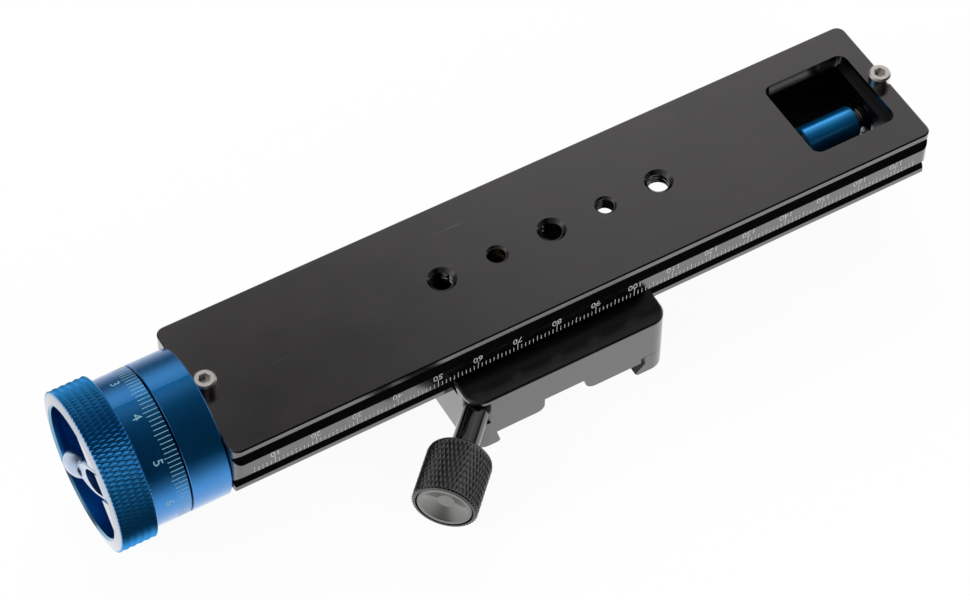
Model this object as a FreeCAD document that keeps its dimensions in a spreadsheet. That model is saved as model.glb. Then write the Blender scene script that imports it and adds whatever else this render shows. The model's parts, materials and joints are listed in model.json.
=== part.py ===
"""Macro focusing rail: a 179 mm rail moved over its clamp carriage by a lead screw.

Every length below is in millimetres in the rail's own axes: X runs along the rail from its knob
end, Y runs across it and Z is up, with zero on the plate's flat top. The document is then set on
the ground under the middle of the whole object, plate upwards and clamp downwards.
"""
import FreeCAD, Part
import math
import os

import Sketcher
from FreeCAD import Placement, Rotation, Vector

os.makedirs("parts", exist_ok=True)
doc = FreeCAD.newDocument("FocusingRail")

SIZES = [
    # place of the rail's axes in the part's frame
    ("frame_x", -75.25),
    ("frame_y", 10.75),
    ("frame_z", 29.5),
    # rail section
    ("rail_left", -0.25),
    ("rail_length", 179.0),
    ("plate_half", 19.0),
    ("plate_thick", 3.6),
    ("edge_chamfer", 0.3),
    ("edge_thick", 1.6),
    ("upper_groove", 1.8),
    ("band_top", 5.2),
    ("band_bottom", 9.45),
    ("lip_root_half", 16.6),
    ("lip_root_depth", 12.4),
    ("lip_half", 17.9),
    ("lip_top", 13.7),
    ("rail_depth", 15.0),
    ("channel_half", 12.6),
    ("rail_corner", 2.2),
    # window and threads in the plate
    ("window_left", 152.0),
    ("window_length", 22.2),
    ("window_half", 11.35),
    ("window_corner", 2.3),
    ("thread_middle", 89.0),
    ("thread_pitch", 14.0),
    ("tripod_minor", 2.55),
    ("tripod_mouth", 3.38),
    ("metric_minor", 2.1),
    ("metric_mouth", 2.55),
    # M3 fasteners
    ("small_thread", 1.5),
    ("small_head", 2.6),
    ("small_head_depth", 3.0),
    ("small_hex", 1.44),
    ("stop_left", 2.8),
    ("stop_right", 176.75),
    ("stop_shank", 4.4),
    # lead screw and its bearings
    ("screw_depth", 10.6),
    ("screw_radius", 3.0),
    ("screw_start", 0.5),
    ("screw_end", 172.0),
    ("collar_radius", 3.6),
    ("knob_journal", 3.0),
    ("knob_journal_start", -18.5),
    ("end_journal", 2.5),
    ("end_journal_end", 177.5),
    ("front_bearing_left", -8.85),
    ("front_bearing_width", 6.0),
    ("front_bearing_outer", 9.5),
    ("end_bearing_left", 172.8),
    ("end_bearing_width", 5.0),
    ("end_bearing_outer", 5.5),
    ("sleeve_left", 156.5),
    ("sleeve_length", 14.0),
    ("sleeve_radius", 3.95),
    ("washer_radius", 3.4),
    ("pin_radius", 0.75),
    ("sleeve_pin_x", 159.0),
    # knob housing
    ("housing_radius", 17.3),
    ("housing_width", 9.35),
    ("housing_chamfer", 0.15),
    ("housing_bore", 3.8),
    ("spigot_length", 12.0),
    ("spigot_half", 12.5),
    ("spigot_gap", 0.05),
    ("retainer_width", 0.7),
    ("retainer_inner", 7.6),
    # dial drum and knurled ring
    ("drum_left", -18.6),
    ("drum_width", 8.5),
    ("drum_radius", 17.2),
    ("drum_cavity", 14.8),
    ("drum_web", 3.0),
    ("hub_radius", 4.4),
    ("ring_front", -27.4),
    ("ring_radius", 18.9),
    ("ring_back_chamfer", 0.75),
    ("cup_radius", 15.5),
    ("cup_floor", 2.0),
    ("lip_rise", 0.45),
    ("lip_round", 0.5),
    # boss with a flat side in the cup, which holds the crank's hinge
    ("boss_chord", 11.3),
    ("boss_rise", 0.4),
    ("slot_half", 4.05),
    ("slot_reach", 16.0),
    ("slot_depth", 4.0),
    ("tongue_half", 2.7),
    ("knuckle_radius", 1.75),
    # folding crank
    ("hinge_angle", 140.0),
    ("hinge_radius", 13.9),
    ("crank_x", -25.65),
    ("hinge_pin", 0.8),
    ("hinge_pin_half", 5.2),
    ("ear_radius", 2.0),
    ("yoke_half", 3.9),
    ("yoke_reach", 15.9),
    ("neck_radius", 2.45),
    ("fork_depth", 9.7),
    ("fork_half", 2.8),
    ("grip_radius", 3.2),
    ("grip_length", 12.2),
    ("grip_gap", 0.25),
    ("spindle_radius", 1.0),
    ("spindle_start", 11.0),
    ("spindle_length", 13.5),
    # end block
    ("end_block_left", 150.0),
    ("end_wall_left", 172.8),
    ("tray_floor", 1.8),
    ("tray_slot_half", 3.6),
    # carriage
    ("block_left", 53.9),
    ("block_length", 50.7),
    ("block_half", 26.0),
    ("block_top", 12.6),
    ("block_corner", 4.2),
    ("block_chamfer", 0.4),
    ("seat_depth", 25.5),
    ("jaw_depth", 29.5),
    ("parting_depth", 23.75),
    ("seat_end", 97.5),
    ("recess_left", 72.3),
    ("recess_right", 82.8),
    ("recess_roof", 21.8),
    ("recess_round_left", 1.8),
    ("recess_round_right", 2.8),
    ("fixed_jaw_root", 60.0),
    ("fixed_jaw_tip", 60.9),
    ("slide_mouth", 17.0),
    ("slide_wide", 18.4),
    ("slide_relief", 19.2),
    ("slide_floor", 15.25),
    ("relief_floor", 15.6),
    # nut of the lead screw
    ("nut_middle", 79.25),
    ("nut_half", 10.0),
    ("nut_width_half", 8.0),
    ("nut_top", 5.0),
    ("nut_foot", 18.3),
    ("nut_bore", 3.06),
    ("nut_screw_x", 77.3),
    ("nut_screw_y", 5.0),
    # moving jaw, its rods and springs
    ("jaw_left", 98.6),
    ("jaw_tip", 96.15),
    ("jaw_gap", 0.1),
    ("lug_left", 98.8),
    ("lug_thick", 2.6),
    ("lug_half", 19.5),
    ("lug_top", 16.6),
    ("rod_radius", 2.0),
    ("rod_y", 14.5),
    ("rod_depth", 18.8),
    ("draw_rod_left", 57.4),
    ("guide_rod_left", 68.0),
    ("spring_y", 10.2),
    ("spring_depth", 20.0),
    ("spring_left", 89.6),
    ("spring_radius", 1.8),
    ("spring_inner", 1.2),
    ("fit_gap", 0.05),
    # clamp knob on its line at 45 degrees across the near left corner
    ("clamp_x", 53.7),
    ("clamp_y", -26.0),
    ("clamp_depth", 17.4),
    ("clamp_knob_out", -23.2),
    ("clamp_knob_in", -9.4),
    ("clamp_knob_radius", 7.45),
    ("clamp_knob_bevel", 0.25),
    ("cap_recess", 6.5),
    ("cap_recess_depth", 2.2),
    ("cap_radius", 6.4),
    ("cap_dish", 5.1),
    ("cap_middle", 2.0),
    ("cap_dish_depth", 1.15),
    ("clamp_screw_radius", 2.5),
    ("clamp_shank_radius", 3.1),
    ("clamp_shank_end", 2.4),
    ("clamp_screw_head", -21.0),
    ("clamp_screw_tip", 7.5),
    ("pocket_half_width", 3.9),
    ("pocket_half_height", 3.6),
    ("pocket_floor", 3.4),
    ("plunger_radius", 1.5),
    ("wedge_x", 63.0),
    ("wedge_run", 3.0),
    ("notch_end", 68.2),
]

sheet = doc.addObject("Spreadsheet::Sheet", "Sizes")
for row, (alias, number) in enumerate(SIZES, start=1):
    sheet.set(f"A{row}", alias)
    sheet.set(f"B{row}", str(number))
    sheet.setAlias(f"B{row}", alias)
doc.recompute()


def size(alias):
    """The number in the cell of that name."""
    return float(sheet.get(alias))


def linked(text):
    """An expression in plain cell names, with the sheet's name put before each of them."""
    words = text.replace("(", " ( ").replace(")", " ) ").split()
    known = {alias for alias, number in SIZES}
    return " ".join("Sizes." + word if word in known else word for word in words)


def bind(item, **properties):
    """Tie properties of an object to the sheet."""
    for name, text in properties.items():
        item.setExpression(name, linked(text))


PARTS = []


def keep(item, node):
    """Name a finished sub-part; its label names its file."""
    item.Label = node
    PARTS.append(item)
    return item


def place(item, x, y, z, rotation=None):
    """Put an object at a point of the rail's axes, given as expressions."""
    if rotation is not None:
        item.Placement = Placement(Vector(), rotation)
    item.setExpression(".Placement.Base.x", linked(f"frame_x + {x}"))
    item.setExpression(".Placement.Base.y", linked(f"frame_y + {y}"))
    item.setExpression(".Placement.Base.z", linked(f"frame_z + {z}"))
    return item


def origin_plane(body, role):
    """One of a body's own three origin planes."""
    return next(feature for feature in body.Origin.OriginFeatures if feature.Role == role)


def sketch_on(body, name, role):
    """A new sketch flat on one of the body's origin planes."""
    sketch = body.newObject("Sketcher::SketchObject", name)
    sketch.AttachmentSupport = (origin_plane(body, role), [""])
    sketch.MapMode = "FlatFace"
    return sketch


def outline(sketch, corners):
    """Draw a closed outline of straight sides; each corner is a pair of expressions."""
    first = sketch.GeometryCount
    count = len(corners)
    seeds = [Vector(math.cos(2 * math.pi * k / count), math.sin(2 * math.pi * k / count), 0)
             for k in range(count)]
    for k in range(count):
        sketch.addGeometry(Part.LineSegment(seeds[k], seeds[(k + 1) % count]), False)
    for k in range(count):
        after = first + (k + 1) % count
        sketch.addConstraint(Sketcher.Constraint("Coincident", first + k, 2, after, 1))
    for k, (across, up) in enumerate(corners):
        for kind, text, seed in (("DistanceX", across, seeds[k].x), ("DistanceY", up, seeds[k].y)):
            rule = sketch.addConstraint(Sketcher.Constraint(kind, -1, 1, first + k, 1, seed))
            sketch.setExpression(f"Constraints[{rule}]", linked(text))


def pad(body, sketch, length, middle=False):
    """Extrude a sketch along its normal, or half each way."""
    feature = body.newObject("PartDesign::Pad", sketch.Name + "Pad")
    feature.Profile = sketch
    bind(feature, Length=length)
    if middle:
        feature.Midplane = True
    sketch.Visibility = False
    return feature


def turned(name, corners):
    """A body turned about X from an outline of (along, radius) corners."""
    body = doc.addObject("PartDesign::Body", name)
    sketch = sketch_on(body, name + "Profile", "XZ_Plane")
    outline(sketch, corners)
    feature = body.newObject("PartDesign::Revolution", name + "Turn")
    feature.Profile = sketch
    feature.ReferenceAxis = (sketch, ["H_Axis"])
    feature.Angle = 360
    return body


def cylinder(radius, height, x, y, z, rotation=None):
    """A cylinder whose foot is at a point of the rail's axes; it rises along its own Z."""
    item = doc.addObject("Part::Cylinder", "Rod")
    bind(item, Radius=radius, Height=height)
    return place(item, x, y, z, rotation)


def cone(foot, top, height, x, y, z, rotation=None):
    """A cone or taper, placed as a cylinder is."""
    item = doc.addObject("Part::Cone", "Taper")
    bind(item, Radius1=foot, Radius2=top, Height=height)
    return place(item, x, y, z, rotation)


def box(length, width, height, x, y, z, rotation=None):
    """A box whose lowest corner is at a point of the rail's axes."""
    item = doc.addObject("Part::Box", "Blank")
    bind(item, Length=length, Width=width, Height=height)
    return place(item, x, y, z, rotation)


def hexagon(radius, height, x, y, z, rotation=None):
    """A hexagonal prism for a socket."""
    item = doc.addObject("Part::Prism", "Hexagon")
    item.Polygon = 6
    bind(item, Circumradius=radius, Height=height)
    return place(item, x, y, z, rotation)


def fused(name, items):
    """Several solids joined in one."""
    item = doc.addObject("Part::MultiFuse", name)
    item.Shapes = items
    return item


def cut(name, base, tools):
    """A solid with others taken out of it."""
    item = doc.addObject("Part::Cut", name)
    item.Base = base
    item.Tool = tools[0] if len(tools) == 1 else fused(name + "Tools", tools)
    return item


def group(name, items):
    """Separate solids kept together as one node."""
    item = doc.addObject("Part::Compound", name)
    item.Links = items
    return item


def common(name, base, tool):
    """What two solids share."""
    item = doc.addObject("Part::Common", name)
    item.Base = base
    item.Tool = tool
    return item


def rounded_blank(name, length, half_width, top, bottom, x, corner, chamfer):
    """An upright block with round corners and a bevel around its top face."""
    blank = box(length, f"2 * {half_width}", f"{bottom} - {top}", x, f"0 - {half_width}", f"0 - {bottom}")
    doc.recompute()
    radius = size(corner)
    bevel = size(chamfer)
    upright = [(k, radius, radius) for k, edge in enumerate(blank.Shape.Edges, start=1)
               if abs(edge.Vertexes[0].Z - edge.Vertexes[1].Z) > bevel]
    round_corners = doc.addObject("Part::Fillet", name + "Corners")
    round_corners.Base = blank
    round_corners.Edges = upright
    doc.recompute()
    highest = round_corners.Shape.BoundBox.ZMax
    rim = [(k, bevel, bevel) for k, edge in enumerate(round_corners.Shape.Edges, start=1)
           if edge.BoundBox.ZMin > highest - 0.01]
    finished = doc.addObject("Part::Chamfer", name)
    finished.Base = round_corners
    finished.Edges = rim
    return finished


UP = Rotation()
DOWN = Rotation(Vector(1, 0, 0), 180)
ALONG_X = Rotation(Vector(0, 1, 0), 90)
ALONG_Y = Rotation(Vector(1, 0, 0), -90)
CLAMP_LINE = Rotation(Vector(0, 0, 1), 45)
ALONG_CLAMP = CLAMP_LINE.multiply(ALONG_X)


def cap_screw(shank, x, y, z, turn=UP):
    """An M3 socket screw: the shank points down from the head's seat, before it is turned."""
    flip = turn.multiply(DOWN)
    up = turn.multVec(Vector(0, 0, 1)).z
    head = cylinder("small_head", "small_head_depth", x, y, z, turn)
    stem = cylinder("small_thread", shank, x, y, z, flip)
    deep = f"{z} + {up:.0f} * ( small_head_depth - 1.5 )"
    socket = hexagon("small_hex", "1.6", x, y, deep, turn)
    doc.recompute()
    edge = [(k, 0.4, 0.4) for k, item in enumerate(head.Shape.Edges, start=1)
            if len(item.Vertexes) == 1 and abs(item.BoundBox.ZMin - head.Placement.Base.z) > 1]
    bevelled = doc.addObject("Part::Chamfer", "HeadBevel")
    bevelled.Base = head
    bevelled.Edges = edge
    return cut("CapScrew", fused("CapScrewBody", [bevelled, stem]), [socket])


def rail_body():
    """The extruded rail: flat plate, two grooved flanks and an open channel below."""
    body = doc.addObject("PartDesign::Body", "RailExtrusion")
    sketch = sketch_on(body, "RailSection", "YZ_Plane")
    flank = [
        ("plate_half - edge_chamfer", "0"),
        ("plate_half", "0 - edge_chamfer"),
        ("plate_half", "0 - edge_thick"),
        ("plate_half - upper_groove", "0 - edge_thick - upper_groove"),
        ("plate_half", "0 - band_top"),
        ("plate_half", "0 - band_bottom"),
        ("lip_root_half", "0 - lip_root_depth"),
        ("lip_half", "0 - lip_top"),
        ("lip_half", "0 - rail_depth"),
        ("channel_half", "0 - rail_depth"),
        ("channel_half", "0 - plate_thick"),
    ]
    mirrored = [(f"0 - ( {across} )", up) for across, up in reversed(flank)]
    outline(sketch, flank + mirrored)
    pad(body, sketch, "rail_length")
    place(body, "rail_left", "0", "0")
    blank = rounded_blank("RailBlank", "rail_length", "plate_half", "0", "rail_depth", "rail_left",
                          "rail_corner", "edge_chamfer")
    shaped = common("RailShape", body, blank)

    through = "plate_thick + 2"
    under = "0 - plate_thick - 1"
    tools = []
    opening = box("window_length", "2 * window_half", through, "window_left", "0 - window_half", under)
    doc.recompute()
    corner = size("window_corner")
    upright = [(k, corner, corner) for k, edge in enumerate(opening.Shape.Edges, start=1)
               if abs(edge.Vertexes[0].Z - edge.Vertexes[1].Z) > 1]
    window = doc.addObject("Part::Fillet", "Window")
    window.Base = opening
    window.Edges = upright
    tools.append(window)
    for steps, minor, mouth in ((-2, "tripod_minor", "tripod_mouth"), (0, "tripod_minor", "tripod_mouth"),
                                (2, "tripod_minor", "tripod_mouth"), (-1, "metric_minor", "metric_mouth"),
                                (1, "metric_minor", "metric_mouth")):
        x = f"thread_middle + {steps} * thread_pitch"
        tools.append(cylinder(minor, through, x, "0", under))
        tools.append(cone(minor, mouth, f"{mouth} - {minor}", x, "0", f"0 - ( {mouth} - {minor} )"))
    for x in ("stop_left", "stop_right"):
        tools.append(cylinder("small_thread", through, x, "0", under))
    for x, y in plate_screw_places():
        tools.append(cylinder("small_thread", "2.6", x, y, "0 - plate_thick - 0.1"))
    keep(cut("RailBody", shaped, tools), "rail_body")


def plate_screw_places():
    """Where screws from below reach up into the plate: two in the spigot, two in the end wall."""
    return [("7", "9"), ("7", "0 - 9"), ("175.75", "9.3"), ("175.75", "0 - 9.3")]


def from_below(base_name, base, places):
    """Bores and counterbores for screws that come up from the rail's underside."""
    tools = []
    for x, y in places:
        tools.append(cylinder("small_thread + 0.1", "rail_depth", x, y, "0 - rail_depth"))
        tools.append(cylinder("small_head + 0.1", "3.3", x, y, "0 - rail_depth - 0.1"))
    return cut(base_name, base, tools)


def knob_housing():
    """The fixed collar that carries the front bearing, with a spigot inside the rail's channel."""
    body = turned("HousingCollar", [
        ("0 - housing_width", "front_bearing_outer"),
        ("0 - housing_width", "housing_radius - housing_chamfer"),
        ("housing_chamfer - housing_width", "housing_radius"),
        ("0 - 2 * housing_chamfer", "housing_radius"),
        ("0", "housing_radius - 2 * housing_chamfer"),
        ("0", "housing_bore"),
        ("front_bearing_left + front_bearing_width - rail_left", "housing_bore"),
        ("front_bearing_left + front_bearing_width - rail_left", "front_bearing_outer"),
    ])
    place(body, "rail_left", "0", "0 - screw_depth")
    spigot = box("spigot_length + 1", "2 * spigot_half", "rail_depth - plate_thick - spigot_gap",
                 "rail_left - 1", "0 - spigot_half", "0 - rail_depth")
    joined = fused("HousingWhole", [body, spigot])
    bore = cylinder("housing_bore", "spigot_length + 4", "rail_left - 2.5", "0", "0 - screw_depth", ALONG_X)
    stop = cylinder("small_thread", "2", "stop_left", "0", "0 - plate_thick - 1.1")
    drilled = cut("HousingBored", joined, [bore, stop])
    keep(from_below("KnobHousing", drilled, plate_screw_places()[:2]), "knob_housing")


def end_block():
    """The tray that closes the channel under the window, with the end bearing's wall."""
    height = "rail_depth - plate_thick - spigot_gap"
    tray = box("rail_left + rail_length - end_block_left", "2 * spigot_half", "tray_floor",
               "end_block_left", "0 - spigot_half", "0 - rail_depth")
    wall = box("rail_left + rail_length - end_wall_left", "2 * spigot_half", height,
               "end_wall_left", "0 - spigot_half", "0 - rail_depth")
    slot = box("end_wall_left - end_block_left + 1", "2 * tray_slot_half", "tray_floor + 2",
               "end_block_left - 1", "0 - tray_slot_half", "0 - rail_depth - 1")
    seat = cylinder("end_bearing_outer", "end_bearing_width + 0.1", "end_bearing_left - 0.1", "0",
                    "0 - screw_depth", ALONG_X)
    stop = cylinder("small_thread", "2", "stop_right", "0", "0 - plate_thick - 1.1")
    drilled = cut("EndBlockBored", fused("EndBlockWhole", [tray, wall]), [slot, seat, stop])
    keep(from_below("EndBlock", drilled, plate_screw_places()[2:]), "end_block")


def rail_fasteners():
    """Stop screws on the plate, and the screws that hold both ends in the channel."""
    stops = [cap_screw("stop_shank", x, "0", "0") for x in ("stop_left", "stop_right")]
    keep(group("StopScrews", stops), "stop_screws")
    places = plate_screw_places()
    seat = "3.2 - rail_depth"
    shank = "rail_depth - 3.2 - plate_thick + 2.3"
    for name, node, chosen in (("HousingScrews", "housing_screws", places[:2]),
                               ("EndBlockScrews", "end_block_screws", places[2:])):
        keep(group(name, [cap_screw(shank, x, y, seat, DOWN) for x, y in chosen]), node)


def bearing(prefix, node, left, width, outer, inner, count):
    """A ball bearing in three nodes: outer ring, balls and inner ring."""
    ball = f"( {outer} - {inner} ) * 0.28"
    middle = f"( {outer} + {inner} ) / 2"
    step = f"( {outer} - {inner} ) * 0.32"
    rings = (("outer_ring", [(outer, f"{outer} - {step}")]), ("inner_ring", [(f"{inner} + {step}", inner)]))
    for suffix, faces in rings:
        high, low = faces[0]
        body = turned(prefix + suffix.title().replace("_", ""),
                      [("0", low), ("0", high), (width, high), (width, low)])
        place(body, left, "0", "0 - screw_depth")
        track = doc.addObject("Part::Torus", prefix + "Track")
        bind(track, Radius1=middle, Radius2=f"{ball} + 0.01")
        place(track, f"{left} + {width} / 2", "0", "0 - screw_depth", ALONG_X)
        keep(cut(prefix + suffix, body, [track]), f"{node}_{suffix}")
    balls = []
    for k in range(count):
        angle = 360.0 * k / count
        item = doc.addObject("Part::Sphere", "Ball")
        bind(item, Radius=ball)
        y = f"{math.cos(math.radians(angle)):.6f} * {middle}"
        z = f"{math.sin(math.radians(angle)):.6f} * {middle} - screw_depth"
        balls.append(place(item, f"{left} + {width} / 2", y, z))
    keep(group(prefix + "Balls", balls), f"{node}_balls")


def bearings():
    """The two bearings of the lead screw, and the ring that holds the front one in."""
    bearing("Front", "front_bearing", "front_bearing_left", "front_bearing_width",
            "front_bearing_outer", "knob_journal", 8)
    bearing("End", "end_bearing", "end_bearing_left", "end_bearing_width",
            "end_bearing_outer", "end_journal", 8)
    retainer = turned("BearingRetainer", [
        ("0 - retainer_width", "retainer_inner"),
        ("0 - retainer_width", "front_bearing_outer"),
        ("0", "front_bearing_outer"),
        ("0", "retainer_inner"),
    ])
    keep(place(retainer, "front_bearing_left", "0", "0 - screw_depth"), "bearing_retainer")


def lead_screw():
    """The lead screw with its journals, thrust sleeve, pin and washer."""
    shoulder = "front_bearing_left + front_bearing_width"
    body = turned("LeadScrewBar", [
        ("knob_journal_start", "0"),
        ("knob_journal_start", "knob_journal"),
        (shoulder, "knob_journal"),
        (shoulder, "collar_radius"),
        ("screw_start", "collar_radius"),
        ("screw_start", "screw_radius"),
        ("screw_end", "screw_radius"),
        ("screw_end", "end_journal"),
        ("end_journal_end", "end_journal"),
        ("end_journal_end", "0"),
    ])
    place(body, "0", "0", "0 - screw_depth")
    thread = cylinder("small_thread", "9", "knob_journal_start", "0", "0 - screw_depth", ALONG_X)
    low = "0 - screw_depth - sleeve_radius"
    pin_hole = cylinder("pin_radius", "6", "sleeve_pin_x", "0", low)
    keep(cut("LeadScrew", body, [thread, pin_hole]), "lead_screw")

    tube = turned("SleeveTube", [
        ("0", "screw_radius"),
        ("0", "sleeve_radius - 0.35"),
        ("0.35", "sleeve_radius"),
        ("sleeve_length - 0.35", "sleeve_radius"),
        ("sleeve_length", "sleeve_radius - 0.35"),
        ("sleeve_length", "screw_radius"),
    ])
    place(tube, "sleeve_left", "0", "0 - screw_depth")
    sleeve_hole = cylinder("pin_radius", "3", "sleeve_pin_x", "0", f"{low} - 0.5")
    keep(cut("ThrustSleeve", tube, [sleeve_hole]), "thrust_sleeve")
    keep(cylinder("pin_radius", "5.9", "sleeve_pin_x", "0", f"{low} + 0.1"), "sleeve_pin")

    washer = turned("ThrustWasher", [
        ("0", "end_journal"),
        ("0", "washer_radius"),
        ("end_bearing_left - screw_end", "washer_radius"),
        ("end_bearing_left - screw_end", "end_journal"),
    ])
    keep(place(washer, "screw_end", "0", "0 - screw_depth"), "thrust_washer")


def around_axis(radius, angle):
    """The y and z expressions of a point around the lead screw's axis."""
    y = f"{math.cos(math.radians(angle)):.6f} * {radius}"
    z = f"{math.sin(math.radians(angle)):.6f} * {radius} - screw_depth"
    return y, z


def ring_screw_places():
    """Three screws in the cup's floor, as angles about the axis."""
    return [size("hinge_angle") + turn for turn in (60, 180, 300)]


def dial_and_ring():
    """The dial drum, the knurled ring in front of it and the screws that join them."""
    drum = turned("DrumTurned", [
        ("0", "knob_journal"),
        ("0", "drum_radius"),
        ("drum_width", "drum_radius"),
        ("drum_width", "drum_cavity"),
        ("drum_web", "drum_cavity"),
        ("drum_web", "hub_radius"),
        ("front_bearing_left - drum_left", "hub_radius"),
        ("front_bearing_left - drum_left", "knob_journal"),
    ])
    place(drum, "drum_left", "0", "0 - screw_depth")
    ring = turned("RingTurned", [
        ("lip_round - lip_rise", "cup_radius"),
        ("0 - lip_rise", "cup_radius + lip_round"),
        ("0", "ring_radius - 0.3"),
        ("0.3", "ring_radius"),
        ("drum_left - ring_front - ring_back_chamfer", "ring_radius"),
        ("drum_left - ring_front", "ring_radius - ring_back_chamfer"),
        ("drum_left - ring_front", "small_thread + 0.1"),
        ("drum_left - ring_front - cup_floor", "small_thread + 0.1"),
        ("drum_left - ring_front - cup_floor", "cup_radius"),
    ])
    place(ring, "ring_front", "0", "0 - screw_depth")

    floor = "drum_left - cup_floor"
    drum_holes = []
    ring_cuts = [cone("3.1", "small_thread", "1.6", floor, "0", "0 - screw_depth", ALONG_X)]
    screws = []
    for angle in ring_screw_places():
        y, z = around_axis("10.8", angle)
        drum_holes.append(cylinder("1.25", "drum_web - 0.2", "drum_left", y, z, ALONG_X))
        ring_cuts.append(cylinder("1.3", "3", f"{floor} - 0.5", y, z, ALONG_X))
        ring_cuts.append(cone("2.35", "1.25", "1.1", floor, y, z, ALONG_X))
        head = cone("2.3", "1.25", "1.05", f"{floor} + 0.03", y, z, ALONG_X)
        stem = cylinder("1.25", "cup_floor + drum_web - 0.5", f"{floor} + 0.1", y, z, ALONG_X)
        socket = hexagon("0.87", "0.7", f"{floor} - 0.1", y, z, ALONG_X)
        screws.append(cut("RingScrew", fused("RingScrewBody", [head, stem]), [socket]))
    keep(cut("DialDrum", drum, drum_holes), "dial_drum")
    keep(group("RingScrews", screws), "ring_screws")

    boss, slot, tongue = hinge_boss()
    ring_cuts.append(slot)
    bossed = cut("RingOpened", fused("RingBossed", [ring, boss]), ring_cuts)
    tongued = fused("RingTongued", [bossed] + tongue)
    keep(cut("KnurledRing", tongued, [hinge_rod("hinge_pin", "hinge_pin_half")]), "knurled_ring")
    keep(hinge_rod("hinge_pin", "hinge_pin_half"), "crank_hinge_pin")

    head = cone("3.05", "small_thread", "1.55", f"{floor} + 0.05", "0", "0 - screw_depth", ALONG_X)
    stem = cylinder("small_thread", "9.5", f"{floor} + 0.2", "0", "0 - screw_depth", ALONG_X)
    socket = hexagon("1.15", "1.2", f"{floor} - 0.1", "0", "0 - screw_depth", ALONG_X)
    keep(cut("KnobScrew", fused("KnobScrewBody", [head, stem]), [socket]), "knob_screw")


def hinge_point():
    """Where the crank's hinge pin crosses the cup's radius."""
    return around_axis("hinge_radius", size("hinge_angle"))


def hinge_rod(radius, half_length):
    """A rod along the hinge pin's line, half each way from its middle."""
    angle = math.radians(size("hinge_angle"))
    y, z = hinge_point()
    return cylinder(radius, f"2 * {half_length}", "crank_x",
                    f"{y} + {math.sin(angle):.6f} * {half_length}",
                    f"{z} - {math.cos(angle):.6f} * {half_length}",
                    Rotation(Vector(0, 0, 1), Vector(0, -math.sin(angle), math.cos(angle))))


def hinge_box(front, depth, offset, reach, half):
    """A box turned with the hinge: it starts at an offset from the pin and reaches towards the rim."""
    angle = math.radians(size("hinge_angle"))
    outward = Vector(0, math.cos(angle), math.sin(angle))
    across = Vector(0, math.sin(angle), -math.cos(angle))
    corner = outward * offset - across * size(half)
    y, z = hinge_point()
    return box(depth, f"2 * {half}", reach, front, f"{y} + {corner.y:.6f}", f"{z} + {corner.z:.6f}",
               Rotation(Vector(1, 0, 0), across, outward, "XYZ"))


def hinge_boss():
    """The boss across the cup's side, the slot for the fork and the tongue that the fork straddles."""
    depth = "drum_left - cup_floor - ring_front + boss_rise"
    disc = cylinder("cup_radius + lip_round", depth, "ring_front - boss_rise", "0", "0 - screw_depth",
                    ALONG_X)
    segment = hinge_box("ring_front - boss_rise", depth, size("boss_chord") - size("hinge_radius"),
                        "cup_radius", "cup_radius")
    boss = common("HingeBoss", disc, segment)
    slot = hinge_box("ring_front - 1", "slot_depth + 1", size("boss_chord") - 1 - size("hinge_radius"),
                     "slot_reach - boss_chord + 1", "slot_half")
    rim_side = hinge_box("ring_front - boss_rise + 0.05", "slot_depth + boss_rise + 0.4", 0,
                         "slot_reach - hinge_radius + 0.1", "tongue_half")
    foot = hinge_box("crank_x", "ring_front + slot_depth + 0.4 - crank_x", -size("knuckle_radius"),
                     "knuckle_radius + 1", "tongue_half")
    knuckle = hinge_rod("knuckle_radius", "tongue_half")
    return boss, slot, [rim_side, foot, knuckle]


def cup_turn():
    """Axes for the crank at rest: X along the cup's diameter away from the hinge, Y tangent."""
    angle = math.radians(size("hinge_angle"))
    along = Vector(0, -math.cos(angle), -math.sin(angle))
    tangent = Vector(0, -math.sin(angle), math.cos(angle))
    return Rotation(along, tangent, along.cross(tangent), "XYZ")


def on_crank(along, across, level="0"):
    """The rail's x, y and z expressions of a point given along, across and behind the crank's axis."""
    shift = cup_turn().multVec(Vector(along, across, 0))
    y, z = hinge_point()
    return f"crank_x + {level}", f"{y} + {shift.y:.6f}", f"{z} + {shift.z:.6f}"


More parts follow.
